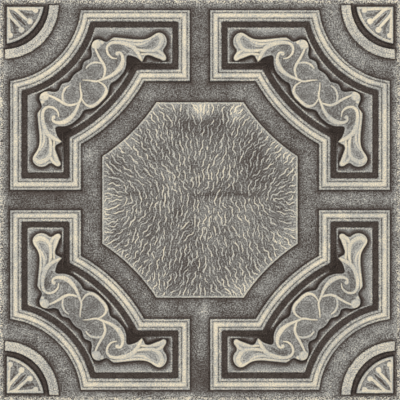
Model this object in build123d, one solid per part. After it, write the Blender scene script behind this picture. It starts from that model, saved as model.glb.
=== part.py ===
"""Moulded polystyrene ceiling tile, 500 mm square, lying on its back with its pattern upwards.

The tile is one sheet of pressed foam. Its front carries an octagonal panel with four hollow sides, four
angled frames of reeded moulding with a scroll ornament in each, and a quarter fan inside a quarter ring at
each corner. The back follows the larger forms, so that the foam keeps about one thickness.
One corner is modelled from its own point, with u and v along its two edges, and is mirrored to the others.
"""

import os
from math import sqrt

from build123d import *

# The sheet
TILE_SIDE = 500.0
SHEET = 3.0
RIM_RISE = 0.7
RIM_EDGE_RISE = 0.3
RIM_CROWN = 1.6
RIM_WIDTH = 4.0

# The octagonal panel, whose four diagonal sides are arcs about the tile's corners
PANEL_WIDTH = 244.8
PANEL_SIDE_RADIUS = 233.3
PANEL_RISE = 1.8
PANEL_DRAFT = 0.8

# The angled frame, with arcs about the tile's corner on both sides of its bend
FRAME_MARGIN = 12.5
FRAME_GAP = 24.8
FRAME_ARM = 89.1
FRAME_INNER_RADIUS = 101.8
FRAME_OUTER_RADIUS = 207.0

# The frame's moulding, as inset from its outline and rise above the sheet
REED = [(0.0, 0.0), (0.6, 1.7), (1.8, 2.3), (3.0, 2.0)]
FIRST_VALLEY = (3.6, 1.4)
RIDGE = [(4.5, 3.0), (5.8, 3.8), (7.0, 4.0), (8.3, 3.8), (9.7, 3.0)]
SECOND_VALLEY = (10.5, 1.4)
LIP = [(11.3, 2.3), (12.6, 2.6), (14.2, 2.1)]
GROOVE = (15.0, 0.0)

# The raised field inside the moulding
FIELD_INSET = 21.6
FIELD_RISE = 2.0
FIELD_DRAFT = 0.9
FIELD_CORNER = 2.0

# The quarter fan and the quarter ring
FAN_MARGIN = 8.4
FAN_RADIUS = 55.4
FAN_RISE = 1.8
FAN_DRAFT = 0.5
FAN_BORDER = 3.0
FAN_BORDER_RISE = 0.6
FAN_BORDER_DRAFT = 0.4
FAN_STEM_RISE = 1.2
FAN_SLOT_DEPTH = 0.9
RING_MARGIN = 6.3
RING_CENTRE = 5.0
RING_INNER_RADIUS = 56.4
RING_WIDTH = 12.2
RING_RISE = 1.8
RING_DRAFT = 0.5

# The hollows in the back, under the raised forms
BACK_DRAFT = 0.8
PANEL_HOLLOW_INSET = 3.4
PANEL_HOLLOW_DEPTH = 1.7
CHANNEL_START = 2.4
CHANNEL_END = 13.2
CHANNEL_DEPTH = 1.9
FIELD_HOLLOW_INSET = 25.0
FIELD_HOLLOW_DEPTH = 1.9
FAN_HOLLOW_INSET = 3.2
FAN_HOLLOW_DEPTH = 1.6
RING_HOLLOW_INSET = 2.8
RING_HOLLOW_DEPTH = 1.5

# The scroll ornament: half its outline, from the inner point of its diagonal to the outer one
BODY_RISE = 2.0
BODY_OUTLINE = [
    (93.3, 93.3), (98.5, 89.5), (102.7, 85.7), (104.6, 79.5), (108.0, 75.8), (113.5, 73.0),
    (115.0, 68.0), (114.0, 61.0), (116.0, 53.5), (120.5, 49.6), (127.3, 50.6), (133.5, 52.5),
    (138.5, 49.5), (144.0, 46.8), (155.0, 47.8), (170.0, 49.3), (181.0, 49.2), (188.0, 46.6),
    (194.0, 42.6), (200.0, 41.0), (206.0, 44.5), (208.8, 52.0), (206.5, 59.5), (204.5, 64.0),
    (208.3, 72.4), (205.0, 76.7), (200.0, 74.5), (190.0, 70.7), (183.0, 70.0), (177.6, 78.0),
    (171.0, 72.6), (163.0, 69.9), (158.8, 71.0), (158.2, 78.0), (156.0, 88.0), (149.0, 97.5),
    (143.0, 102.3), (138.0, 106.0), (136.5, 113.0), (132.0, 122.5), (127.3, 127.3),
]
BODY_CORNERS = [0, 29, 40]  # its sharp points, counted from 0

# The ribs of half an ornament, each as points along its crown and the width there
RIB_RISE = 1.6
RIB_CROWN_WIDTH = 0.5
RIB_STEM = [(119.6, 60.5, 2.6), (124.0, 71.0, 3.0), (129.3, 80.0, 3.2), (131.6, 88.0, 3.0), (129.8, 97.0, 2.0)]
RIB_SCROLL = [
    (105.0, 100.8, 1.0), (118.0, 102.0, 1.8), (130.0, 98.5, 2.6), (140.0, 94.5, 3.4), (149.0, 87.0, 4.8),
    (153.3, 77.0, 4.2), (152.3, 69.4, 3.2), (148.6, 65.4, 2.2),
]
RIB_BROW = [(126.5, 104.0, 1.4), (131.3, 108.5, 2.6), (133.0, 114.0, 3.6), (130.2, 120.6, 4.2), (126.0, 126.0, 3.6)]
RIB_CURL = [
    (144.5, 73.4, 1.2), (138.6, 71.6, 2.0), (134.4, 65.5, 2.6), (135.6, 57.4, 3.2), (144.0, 54.0, 3.8),
    (156.0, 55.2, 4.8), (166.0, 59.0, 4.6), (172.0, 66.4, 3.6), (176.6, 75.6, 1.2),
]
RIB_UNDER = [(173.5, 63.5, 1.8), (182.0, 65.6, 3.6), (192.0, 66.4, 4.4), (200.4, 62.0, 4.6), (204.2, 54.0, 4.4),
             (202.4, 46.4, 3.6), (196.4, 44.2, 2.2)]

# The balls and rounded ends, as place, radius and rise above the ornament's body
BALLS = [(120.5, 56.0, 5.4, 2.2), (204.0, 72.2, 3.4, 1.5)]
DOME_SHOULDER = 0.66
DOME_SHOULDER_WIDTH = 0.76
DOME_CROWN_WIDTH = 0.34
DOME_SIDES = 8

# The curves of the ornament are laid out in short facets, so many to each stretch between two points
BODY_FACETS = 2
RIB_FACETS = 2
FOOT = 0.2  # how far a rib or ball reaches down into what carries it

# The fan's drops: their stems as places and widths, the balls that end them, and the slot between them
FAN_STEM = [(20.5, 12.9, 1.8), (28.0, 19.4, 2.8), (36.2, 26.4, 2.4)]
FAN_BALLS = [(37.0, 27.0, 3.7, 1.6), (44.0, 13.4, 3.2, 1.4)]
FAN_SLOT_START = 17.0
FAN_SLOT_END = 31.6
FAN_SLOT_WIDTH = 5.0

CORNER = TILE_SIDE / 2
TOP = SHEET


def square(inset, height):
    """The tile's outline, drawn in by inset, at a height."""
    side = TILE_SIDE - 2 * inset
    return Pos(0, 0, height) * Rectangle(side, side)


def panel_outline(inset, height):
    """The octagonal panel's outline about the tile's centre."""
    side = PANEL_WIDTH / 2 - inset
    radius = PANEL_SIDE_RADIUS + inset
    half = CORNER - sqrt(radius**2 - (CORNER - side) ** 2)
    middle = CORNER - radius / sqrt(2)
    edges = []
    for sx, sy in ((1, 1), (-1, 1), (-1, -1), (1, -1)):
        ends = [(sx * side, sy * half), (sx * half, sy * side)]
        if sx * sy < 0:
            ends.reverse()
        edges.append((ends, (sx * middle, sy * middle)))
    lines = []
    for index, (ends, bend) in enumerate(edges):
        lines.append(ThreePointArc(ends[0], bend, ends[1]))
        lines.append(Line(ends[1], edges[(index + 1) % 4][0][0]))
    return Pos(0, 0, height) * make_face(lines)


def frame_outline(inset, height, corner=0.0):
    """The angled frame's outline in the corner's own u and v."""
    near = FRAME_MARGIN + inset
    far = CORNER - FRAME_GAP / 2 - inset
    arm = FRAME_MARGIN + FRAME_ARM - inset
    inner = FRAME_INNER_RADIUS + inset
    outer = FRAME_OUTER_RADIUS - inset
    start = (sqrt(inner**2 - near**2), near)
    bend = (sqrt(outer**2 - arm**2), arm)
    side = [start, (far, near), (far, arm), bend]
    lines = [Line(side[index], side[index + 1]) for index in range(3)]
    lines += [Line(side[index + 1][::-1], side[index][::-1]) for index in (2, 1, 0)]
    lines.append(ThreePointArc(bend, (outer / sqrt(2),) * 2, bend[::-1]))
    lines.append(ThreePointArc(start[::-1], (inner / sqrt(2),) * 2, start))
    face = make_face(lines)
    if corner:
        face = fillet(face.vertices(), corner)
    return Pos(0, 0, height) * face


def fan_outline(inset, height):
    """The quarter fan's outline."""
    near = FAN_MARGIN + inset
    radius = FAN_RADIUS - inset
    end = (sqrt(radius**2 - near**2), near)
    lines = [
        Line((near, near), end),
        ThreePointArc(end, (radius / sqrt(2),) * 2, end[::-1]),
        Line(end[::-1], (near, near)),
    ]
    return Pos(0, 0, height) * make_face(lines)


def ring_outline(inset, height):
    """The quarter ring's outline, with its two ends parallel to the tile's edges."""
    near = RING_MARGIN + inset
    inner = RING_INNER_RADIUS + inset
    outer = RING_INNER_RADIUS + RING_WIDTH - inset
    lines = []
    ends = []
    for radius in (inner, outer):
        reach = RING_CENTRE + sqrt(radius**2 - (near - RING_CENTRE) ** 2)
        middle = RING_CENTRE + radius / sqrt(2)
        ends.append(((reach, near), (near, reach)))
        lines.append(ThreePointArc((reach, near), (middle, middle), (near, reach)))
    lines += [Line(ends[0][0], ends[1][0]), Line(ends[0][1], ends[1][1])]
    return Pos(0, 0, height) * make_face(lines)


def layers(outline, steps, base=TOP, **options):
    """A solid whose outline steps in, as (inset, rise) pairs."""
    return loft([outline(inset, base + rise, **options) for inset, rise in steps], ruled=True)


def moulding():
    """The frame's reeds: each is built up from outside to its crown, and hollowed from its crown inwards."""
    solid = None
    for reed in (REED + [FIRST_VALLEY], [FIRST_VALLEY] + RIDGE + [SECOND_VALLEY], [SECOND_VALLEY] + LIP + [GROOVE]):
        crown = max(range(len(reed)), key=lambda index: reed[index][1])
        hill = layers(frame_outline, reed[: crown + 1])
        solid = hill if solid is None else solid + hill
        solid -= layers(frame_outline, reed[crown:])
    return solid


def smooth_line(points, facets):
    """A smooth line through points, and places along it that cut each stretch into facets."""
    line = Spline(*points)
    marks = [line.param_at_point(point) for point in points]
    places = [
        start + (end - start) * index / facets for start, end in zip(marks, marks[1:]) for index in range(facets)
    ]
    return line, places + [marks[-1]]


def strip_outline(strip, share, height):
    """The outline round a strip's centre line, at a share of its width, as a face at a height."""
    line, places = smooth_line([(u, v) for u, v, _ in strip], RIB_FACETS)
    left, right = [], []
    for index, place in enumerate(places):
        stretch, step = divmod(index, RIB_FACETS)
        after = strip[min(stretch + 1, len(strip) - 1)][2]
        width = strip[stretch][2] + (after - strip[stretch][2]) * step / RIB_FACETS
        along = line.tangent_at(place)
        off = Vector(-along.Y, along.X) * (width * share / 2)
        left.append(line.position_at(place) + off)
        right.append(line.position_at(place) - off)
    return Pos(0, 0, height) * make_face(Polyline(*left, *right[::-1], close=True))


def rib(strip, base, rise):
    """A rib that is broad at its foot and narrow at its crown."""
    return loft([strip_outline(strip, 1.0, base), strip_outline(strip, RIB_CROWN_WIDTH, base + rise)], ruled=True)


def dome(ball, base):
    """A ball's upper part, standing on a base and reaching a little into it."""
    u, v, radius, rise = ball
    steps = [(1.0, -FOOT), (1.0, 0.0), (DOME_SHOULDER_WIDTH, rise * DOME_SHOULDER), (DOME_CROWN_WIDTH, rise)]
    return loft(
        [Pos(u, v, base + lift) * RegularPolygon(radius * share, DOME_SIDES) for share, lift in steps],
        ruled=True,
    )


def body_outline(height):
    """The ornament's whole outline, smooth except at its sharp points."""
    half = []
    for first, last in zip(BODY_CORNERS, BODY_CORNERS[1:]):
        line, places = smooth_line(BODY_OUTLINE[first : last + 1], BODY_FACETS)
        half += [line.position_at(place) for place in places[:-1]]
    other = [(place.Y, place.X) for place in half[:0:-1]]
    return Pos(0, 0, height) * make_face(Polyline(*half, BODY_OUTLINE[-1], *other, close=True))


def both(shapes):
    """Shapes together with their mirror images across the corner's diagonal."""
    across = Plane(origin=(0, 0, 0), x_dir=(0, 0, 1), z_dir=(1, -1, 0))
    return shapes + [mirror(shape, about=across) for shape in shapes]


def ornament():
    """The scroll ornament's body, with its ribs and balls."""
    top = TOP + FIELD_RISE + BODY_RISE
    body = extrude(body_outline(TOP + FIELD_RISE - FOOT), BODY_RISE + FOOT)
    ribs = [RIB_STEM, RIB_SCROLL, RIB_BROW, RIB_CURL, RIB_UNDER]
    relief = [rib(strip, top - FOOT, RIB_RISE + FOOT) for strip in ribs]
    relief += [dome(ball, top) for ball in BALLS]
    return body.fuse(*both(relief))


def fan():
    """The quarter fan with its raised border, drops and slot."""
    sides = [(0, 0), (FAN_DRAFT, FAN_RISE), (FAN_DRAFT + FAN_BORDER_DRAFT, FAN_RISE + FAN_BORDER_RISE)]
    plate = layers(fan_outline, sides)
    top = TOP + FAN_RISE
    plate -= layers(fan_outline, [(FAN_BORDER, FAN_BORDER_RISE), (FAN_BORDER + FAN_BORDER_DRAFT, 0)], base=top)
    relief = both([rib(FAN_STEM, top - FOOT, FAN_STEM_RISE + FOOT)])
    relief += both([dome(ball, top) for ball in FAN_BALLS])
    middle = (FAN_SLOT_START + FAN_SLOT_END) / 2
    bulge = FAN_SLOT_WIDTH / 2 / sqrt(2)
    ends = (FAN_SLOT_START,) * 2, (FAN_SLOT_END,) * 2
    bends = [(middle + bulge, middle - bulge), (middle - bulge, middle + bulge)]
    slot = make_face([ThreePointArc(ends[0], bend, ends[1]) for bend in bends])
    cut = extrude(Pos(0, 0, top - FAN_SLOT_DEPTH) * slot, FAN_SLOT_DEPTH + FAN_STEM_RISE)
    return plate.fuse(*relief) - cut


def corner_relief():
    """Everything that stands on the front in one corner, in u and v."""
    ring = layers(ring_outline, [(0, 0), (RING_DRAFT, RING_RISE)])
    field = loft(
        [
            frame_outline(FIELD_INSET, TOP, corner=FIELD_CORNER),
            frame_outline(FIELD_INSET + FIELD_DRAFT, TOP + FIELD_RISE, corner=FIELD_CORNER),
        ],
        ruled=True,
    )
    return [moulding(), field + ornament(), fan(), ring]


def corner_hollows():
    """The hollows in the back of one corner, in u and v."""
    channel = layers(frame_outline, [(CHANNEL_START, 0), (CHANNEL_START + BACK_DRAFT, CHANNEL_DEPTH)], base=0)
    channel -= layers(frame_outline, [(CHANNEL_END, 0), (CHANNEL_END - BACK_DRAFT, CHANNEL_DEPTH)], base=0)
    places = [
        (frame_outline, FIELD_HOLLOW_INSET, FIELD_HOLLOW_DEPTH),
        (fan_outline, FAN_HOLLOW_INSET, FAN_HOLLOW_DEPTH),
        (ring_outline, RING_HOLLOW_INSET, RING_HOLLOW_DEPTH),
    ]
    return [channel] + [
        layers(outline, [(inset, 0), (inset + BACK_DRAFT, depth)], base=0) for outline, inset, depth in places
    ]


def quarter():
    """One corner of the tile, in u and v, without its rim and its part of the octagonal panel."""
    sheet = Pos(CORNER / 2, CORNER / 2, SHEET / 2) * Box(CORNER, CORNER, SHEET)
    return sheet.fuse(*corner_relief()).cut(*corner_hollows())


first = Pos(-CORNER, -CORNER, 0) * quarter()
half = first + mirror(first, about=Plane.YZ)
tile = half + mirror(half, about=Plane.XZ)

rim = layers(square, [(0, 0), (0, RIM_EDGE_RISE), (RIM_CROWN, RIM_RISE)])
rim -= layers(square, [(RIM_CROWN, RIM_RISE), (RIM_WIDTH, 0)])
panel = layers(panel_outline, [(0, 0), (PANEL_DRAFT, PANEL_RISE)])
hollow = layers(
    panel_outline,
    [(PANEL_HOLLOW_INSET, 0), (PANEL_HOLLOW_INSET + BACK_DRAFT, PANEL_HOLLOW_DEPTH)],
    base=0,
)
tile = (tile + rim + panel - hollow).solid()

os.makedirs("parts", exist_ok=True)
export_step(tile, "parts/tile.step")
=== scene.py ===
import math
import bpy
import numpy as np
from mathutils import Matrix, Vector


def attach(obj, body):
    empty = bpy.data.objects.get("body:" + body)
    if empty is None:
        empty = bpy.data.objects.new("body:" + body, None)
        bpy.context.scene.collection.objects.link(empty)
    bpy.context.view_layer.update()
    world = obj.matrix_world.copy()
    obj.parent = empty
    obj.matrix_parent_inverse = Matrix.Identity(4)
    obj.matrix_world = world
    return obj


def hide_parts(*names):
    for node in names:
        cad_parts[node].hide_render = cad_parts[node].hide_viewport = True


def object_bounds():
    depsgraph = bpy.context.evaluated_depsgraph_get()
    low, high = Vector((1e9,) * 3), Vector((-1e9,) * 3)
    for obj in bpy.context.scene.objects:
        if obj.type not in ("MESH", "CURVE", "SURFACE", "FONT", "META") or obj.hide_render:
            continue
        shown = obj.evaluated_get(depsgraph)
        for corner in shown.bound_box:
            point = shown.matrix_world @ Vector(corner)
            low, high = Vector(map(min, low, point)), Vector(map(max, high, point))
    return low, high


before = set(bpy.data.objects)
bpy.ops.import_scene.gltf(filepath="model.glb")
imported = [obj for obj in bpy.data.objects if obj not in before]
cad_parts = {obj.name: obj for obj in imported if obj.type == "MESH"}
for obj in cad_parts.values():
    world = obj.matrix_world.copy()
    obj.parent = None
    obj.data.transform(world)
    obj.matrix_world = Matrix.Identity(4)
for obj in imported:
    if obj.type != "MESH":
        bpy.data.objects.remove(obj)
cad_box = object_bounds()

# Sizes are in millimetres until a mesh is made. Each quarter of the tile is laid out from its own corner:
# u and v run from the corner along the two edges.
MM = 0.001
SIDE = round((cad_box[1].x - cad_box[0].x) / MM, 3)
HALF = SIDE / 2
SHEET = 3.0
# Raised forms start just under the sheet's face, and the frames' grooves lie just over it
SUNK = 2.9
GROOVE = 3.08
SEED = 7

# The angled frame's outline
FRAME_MARGIN = 12.5
FRAME_GAP = 24.8
FRAME_ARM = 89.1
FRAME_INNER_RADIUS = 101.8
FRAME_OUTER_RADIUS = 207.0
FRAME_INNER_STEPS = 30
FRAME_OUTER_STEPS = 44
# The points at each end of an arc that give way to a rounded corner
ARC_TRIM = 3

# Its moulding: inset from that outline, height, corner radius and paint tone. Tones run from 0, black,
# to 1, white.
# The first rows are dark as painted shadow at the moulding's outer foot
MOULDING = [
    (-0.2, SUNK, 0, 0.18), (0.0, 3.3, 0, 0.26), (0.35, 4.3, 0, 0.54), (0.9, 5.0, 0, 0.68),
    (1.8, 5.3, 0, 0.73), (2.7, 5.1, 0, 0.68), (3.3, 4.6, 0, 0.52), (3.6, 4.4, 0, 0.45),
    (3.9, 4.7, 0, 0.54), (4.4, 5.7, 0, 0.71), (5.1, 6.4, 0, 0.80), (6.0, 6.85, 0, 0.84),
    (7.0, 7.0, 0, 0.86), (8.1, 6.85, 0, 0.84), (9.1, 6.4, 0, 0.79), (9.9, 5.7, 0, 0.70),
    (10.3, 4.7, 0, 0.52), (10.5, 4.4, 0, 0.44), (10.8, 4.7, 0.2, 0.52), (11.4, 5.3, 0.6, 0.68),
    (12.5, 5.6, 1.2, 0.73), (13.5, 5.45, 1.8, 0.68), (14.3, 4.9, 2.4, 0.52), (14.8, 4.0, 2.8, 0.31),
    (15.0, 3.3, 3.0, 0.24), (15.3, GROOVE, 3.2, 0.23), (21.3, GROOVE, 2.2, 0.23), (21.6, 3.25, 2.0, 0.25),
    (22.0, 4.2, 2.0, 0.42), (22.5, 4.8, 1.8, 0.60), (23.2, 5.0, 1.5, 0.68), (23.8, 5.0, 1.2, 0.64),
    (24.6, 4.7, 1.0, 0.58),
]
LIP_START = 15.5
FIELD_START = 23.5
FIELD_HEIGHT = 5.0
# How far the field's edge dips under the lip, and over what width
FIELD_DIP = 0.25
FIELD_DIP_WIDTH = 0.8
# The field's paint by inset, and by how far it lies from the scroll
FIELD_TONES = [(23.5, 0.66), (24.4, 0.62), (26, 0.54), (28.5, 0.46), (32, 0.42), (40, 0.42)]
SCROLL_SHADOW = [(0, 0.12), (1.5, 0.14), (3, 0.24), (5, 0.38), (8, 0.58)]

# The octagonal panel: inset, height and tone of its edge, which is dark at its foot as painted shadow
PANEL_REACH = 122.4
PANEL_ARC = 233.3
PANEL_STEPS = 28
PANEL_EDGE = [
    (-0.2, SUNK, 0.22), (0.0, 3.3, 0.34), (0.4, 4.4, 0.62), (0.9, 4.85, 0.74), (1.6, 4.95, 0.76),
    (2.2, 4.85, 0.68), (2.9, 4.5, 0.60),
]
PANEL_START = 1.9
PANEL_TOP = 4.8
PANEL_DIP = 0.3
PANEL_DIP_WIDTH = 1.4
PANEL_TONE = 0.45
# The tone that the skin nears at its edge, its share of its own tone there, and where that share is whole
PANEL_EDGE_TONE = 0.62
PANEL_EDGE_SHARE = 0.2
PANEL_EDGE_FADE = (1.5, 4.0)
# The lighter margin inside the edge: tone added, and where it starts and ends
PANEL_GLOW = 0.09
PANEL_GLOW_FADE = (2, 16)
WRINKLE_RISE = 0.55
WRINKLE_TONE = 0.43
# Its wrinkles, large and small: spacing, reach to each side, width and strength
WRINKLES = [(4.4, 13, 1.9, 1.0), (2.6, 5, 1.5, 0.65)]
WRINKLE_TRIES = 9000
# One sway from side to side takes this many places, and turns a wrinkle by an angle in this range
WRINKLE_SWAY = 10.0
SWAY_ANGLES = (0.2, 0.6)
# The shares of the reach, the width and the strength that single wrinkles have
REACH_SHARES = (0.5, 1.0)
WIDTH_SHARES = (0.8, 1.1)
STRENGTH_SHARES = (0.75, 1.0)
# Where its flank ends, from 0 at its edge to 1 along its middle
WRINKLE_FLANK = 0.7
# The share of its width that a wrinkle has at its tips, and what each place further in adds
TIP_WIDTH = 0.55
TIP_GROWTH = 0.15
# Wrinkles of fewer places than this are left out
SHORTEST_WRINKLE = 4
# How near one wrinkle may cross another, as a share of the spacing
CROSSING_GAP = 0.55
# The pulls on a wrinkle's direction and how far in from the octagon's edges they reach: up and down, to the
# sides, and square to the arcs
UPRIGHT_BASE = 0.5
UPRIGHT_REACH = 25
LEVEL_PULL = 3.0
LEVEL_REACH = 15
SLANT_PULL = 1.9
SLANT_REACH = 30
# How the direction wanders: an angle, and the width that it is softened over
WANDER = [(0.26, 4.0), (0.16, 14.0)]
# The foot of a wrinkle: the width it is softened over, its depth and the tone that its painted shade takes
# away
FOOT_WIDTH = 1.0
FOOT_DEPTH = 0.2
FOOT_SHADE = 0.38
# Where a patch of paint starts to fade and ends, as shares of its reach
PATCH_FADE = (0.2, 1.3)

# The quarter fan and the quarter ring: inset, height and tone of their edges, which are dark at their feet as
# painted shadow
FAN_MARGIN = 8.4
FAN_RADIUS = 55.4
FAN_ARC_STEPS = 24
FAN_SIDE_STEPS = 8
FAN_EDGE = [
    (-0.2, SUNK, 0.22), (0.0, 3.3, 0.34), (0.3, 4.7, 0.62), (0.7, 5.3, 0.74), (1.5, 5.45, 0.77),
    (2.2, 5.3, 0.74), (2.7, 4.8, 0.66),
]
FAN_START = 1.9
FAN_FACE = 4.8
FAN_DIP = 0.3
FAN_DIP_WIDTH = 0.5
# The raised band round its face: where it ends, how far that end slopes, its rise and tone added
FAN_BAND = 3.6
FAN_BAND_SLOPE = (-0.8, 0.2)
FAN_BAND_RISE = 0.6
FAN_BAND_TONE = 0.17
RING_MARGIN = 6.3
RING_CENTRE = 5.0
RING_INNER = 56.4
RING_WIDTH = 12.2
RING_STEPS = 32
RING_EDGE = [
    (-0.2, SUNK, 0.22), (0.0, 3.3, 0.32), (0.35, 4.3, 0.60), (0.8, 4.7, 0.72), (1.6, 4.85, 0.77),
    (3.0, 4.8, 0.74), (6.0, 4.8, 0.72),
]

# The raised rim along the tile's edge: distance from the edge, height and tone
RIM_TOP = 3.7
RIM = [
    (0.0, SHEET, 0.56), (0.0, 3.2, 0.58), (0.5, 3.55, 0.61), (1.6, RIM_TOP, 0.63), (2.8, 3.5, 0.60),
    (3.6, 3.15, 0.53), (4.2, SUNK, 0.48),
]
# The flat of the sheet: distance from the nearest raised form and tone, darkest at a form's foot as a painted
# shadow line
FLAT_TONES = [
    (0, 0.16), (0.8, 0.20), (1.8, 0.29), (3.2, 0.36), (5.5, 0.40), (8.5, 0.43), (13, 0.435), (20, 0.43),
]
# The lighter flat along the rim: where it starts and ends, and tone added
RIM_GLOW = (4.2, 11.0, 0.12)
# The darker flat inside each corner's ring: tone taken away, and the width that it fades over
RING_SHADE = 0.13
RING_SHADE_FADE = 1.5

# The hollows in the back: inset and depth. Their plugs start this far under the tile.
PLUG_START = -1.0
HOLLOW_DRAFT = 0.8
CHANNEL_START = 2.4
CHANNEL_END = 13.2
CHANNEL_DEPTH = 1.9
FIELD_HOLLOW = (25.0, 1.9)
FAN_HOLLOW = (3.2, 1.6)
RING_HOLLOW = (2.8, 1.5)
PANEL_HOLLOW = (3.4, 1.7)

# Half the scroll ornament's outline, from the inner point of its diagonal to the outer one
SCROLL_OUTLINE = [
    (93.3, 93.3), (96, 91), (98.5, 89.5), (101, 87.8), (102.7, 85.7), (104, 80.5), (105.5, 77.5),
    (108, 75.8), (111, 74.5), (113.5, 73), (115, 68), (114, 61), (114.5, 57.5), (116, 53.5), (119, 50.5),
    (124, 49.4), (127.3, 50.6), (131, 52), (133.5, 52.5), (136, 51.3), (138.5, 49.5), (141, 47.5),
    (144, 46.8), (155, 47.8), (170, 49.3), (181, 49.2), (188, 46.6), (191, 44.6), (194, 42.6),
    (197, 41.2), (200, 41), (203, 42), (206, 44.5), (208, 48), (208.8, 52), (208.2, 56), (206.5, 59.5),
    (204.5, 62), (204.3, 64.5), (205.5, 67), (207.5, 70), (208.3, 73), (207.5, 75.5), (205, 76.7),
    (202.5, 76), (200, 74.5), (195, 72.7), (190, 70.7), (186, 69.5), (183.5, 69.7), (181.5, 70.8),
    (180.3, 73), (177.6, 78), (176.2, 77), (174, 75), (171, 72.6), (167, 71), (163, 69.9), (160.5, 69.7),
    (158.8, 71), (158.2, 74), (158.2, 80), (157.5, 84), (156, 88), (154.5, 91), (152, 94), (149, 97.5),
    (146, 100.3), (143, 102.3), (140, 103.8), (138, 106), (137, 109), (136.5, 113), (134.8, 118),
    (132, 122.5), (129.5, 125.3), (127.3, 127.3),
]
OUTLINE_STEP = 2.0
SCROLL_RISE = 2.0
# Its flank, and where its carving and its paint begin, as distances inside the outline
SCROLL_FLANK = (-0.7, 1.0)
CARVING_START = (-0.5, 0.8)
# The body's tone in the middle of the ornament and at its ends, and where one turns into the other
SCROLL_TONE = 0.53
SCROLL_END_TONE = 0.67
SCROLL_ENDS = (145, 185)
CREAM = 0.79
# The painted shade in the dark elbow under the barb: u, v and reach, its tone, and its fade as shares of the
# reach
SHADED_ELBOW = (168, 80, 14)
ELBOW_SHADE_TONE = 0.15
ELBOW_SHADE_FADE = (0.6, 1.6)
# How much lighter the field is beside the frame's straight outer sides, where that sets in between the two
# kinds of side, and how far in from the field's edge
OPEN_LIGHT = 0.07
OPEN_FADE = (-2, 3)
OPEN_DEPTH = 3

# Carving: the step along a strip, how full the section of a rib and of a ball is, and where the cream and
# the sinking begin and are whole, from 0 at a form's edge to 1 along its middle
STRIP_STEP = 0.5
RIB_FULLNESS = 0.7
BALL_FULLNESS = 0.6
RIB_CREAM = (0.0, 0.6)
BALL_CREAM = (0.05, 0.6)
SINK_FADE = (0, 0.9)
# A place this much higher than the places about it counts as a full crest, and this much lower as a hollow
FULL_CREST = 0.4
# How wide those places about it lie, and the tone that a crest adds, a sunk place takes away and the cream
# adds beside itself, with the width of that glow
SCROLL_ABOUT = 1.2
SCROLL_WEAR = (0.14, 0.05, 0.22)
SCROLL_GLOW = 1.6
CREAM_CREST = 0.10
FAN_ABOUT = 1.8
FAN_WEAR = (0.14, 0.12, 0.10)
FAN_GLOW = 1.2

# The scroll's ribs: points along the crown as u, v and width, then the rise and how fully the cream covers it
RIBS = [
    ([(119.6, 61, 3.2), (121.5, 66, 3.4), (124, 71, 3.8), (126.5, 75.5, 4.0), (129.3, 80, 4.2),
      (131.2, 84.5, 4.2), (131.8, 88, 4.0), (131, 93, 3.6), (129.5, 97.5, 2.8)], 1.5, 1.0),
    ([(128.5, 80.5, 2.2), (125, 79, 3.0), (120, 78.6, 3.4), (116, 79.4, 3.4), (112.5, 81, 3.2),
      (110, 83.2, 2.8), (108, 86, 2.2)], 1.0, 0.75),
    ([(104, 100.5, 1.6), (112, 101, 2.6), (118, 102, 3.2), (123, 101.8, 3.4), (130, 98.8, 4.0),
      (135, 97, 4.4), (140, 94.5, 5.2), (145, 91, 6.0), (149, 87, 6.8), (152, 82, 6.8), (153.5, 77, 5.8),
      (153.5, 72, 4.8), (152.3, 68.5, 4.2), (150.3, 66.4, 3.8), (147.6, 66.4, 3.6)], 1.6, 1.0),
    ([(123, 102.2, 1.8), (128, 105, 2.6), (131.2, 108, 3.4), (133, 112, 4.2), (132.6, 117, 5.2),
      (130, 121.5, 5.8), (126, 126, 5.4)], 1.4, 0.95),
    ([(146, 73.8, 1.8), (141, 73, 2.6), (137.5, 70.5, 3.2), (135, 67, 3.6), (134, 63, 3.8),
      (134.3, 59.5, 4.0), (136.5, 56.3, 4.4), (140, 54.3, 4.8), (146, 53.4, 5.2), (153, 54, 6.0),
      (160, 56, 6.6), (166, 59, 6.6), (170, 63, 6.0), (173, 67.5, 5.4), (175, 71.5, 4.6),
      (177, 75.5, 2.6)], 1.6, 1.0),
    ([(138, 50.4, 1.8), (144, 49.4, 2.8), (155, 50.2, 3.2), (166, 51.6, 3.4), (176, 51.6, 3.4),
      (184, 50, 3.4), (190, 47.2, 3.6), (195, 44.4, 4.0), (199, 43.6, 5.0)], 1.0, 0.72),
    ([(172, 62.4, 2.6), (180, 64, 4.4), (188, 64.2, 5.0), (194, 62.8, 5.4), (198.6, 59.4, 5.8),
      (201.6, 54, 6.4), (202.4, 49, 6.6), (200, 45.4, 6.0)], 1.5, 1.0),
    ([(162, 54, 2.4), (170, 55.6, 4.0), (177, 55.4, 4.0), (183, 53.2, 3.0), (188, 50.4, 1.8)], 0.9, 0.8),
    ([(177, 68.4, 2.6), (184, 68, 4.0), (192, 69, 5.2), (199, 71, 6.2), (204, 72.6, 6.6)], 1.4, 1.0),
    ([(197, 63.5, 4.0), (201.5, 66.5, 4.6), (204, 70.5, 5.0)], 1.3, 0.9),
]
# Its balls: u, v, radius and rise
BALLS = [(120.5, 56.0, 6.6, 2.2), (147.0, 67.4, 3.0, 1.3), (204.0, 72.4, 4.2, 1.5), (127.4, 53.6, 3.0, 1.0)]
# Its sunk places: points and widths, then the depth
SINKS = [
    ([(171, 59.4, 1.6), (178, 60.2, 2.2), (186, 58.6, 6.0), (192, 54.6, 8.0), (195.5, 50, 4.0)], 0.8),
    ([(175, 66, 1.4), (182, 66.4, 1.6), (190, 66.8, 1.2)], 0.9),
    ([(112, 92, 9.0), (119, 89, 13.0), (124, 86, 8.0)], 0.6),
    ([(112, 112, 14.0), (120, 120, 14.0)], 0.6),
    ([(143.5, 60, 9.0), (146, 59.6, 8.0), (152, 60, 6.0), (160, 65, 4.0)], 0.7),
    ([(139, 80, 8.0), (143, 83, 8.0), (146, 77, 6.0)], 0.5),
]

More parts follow.
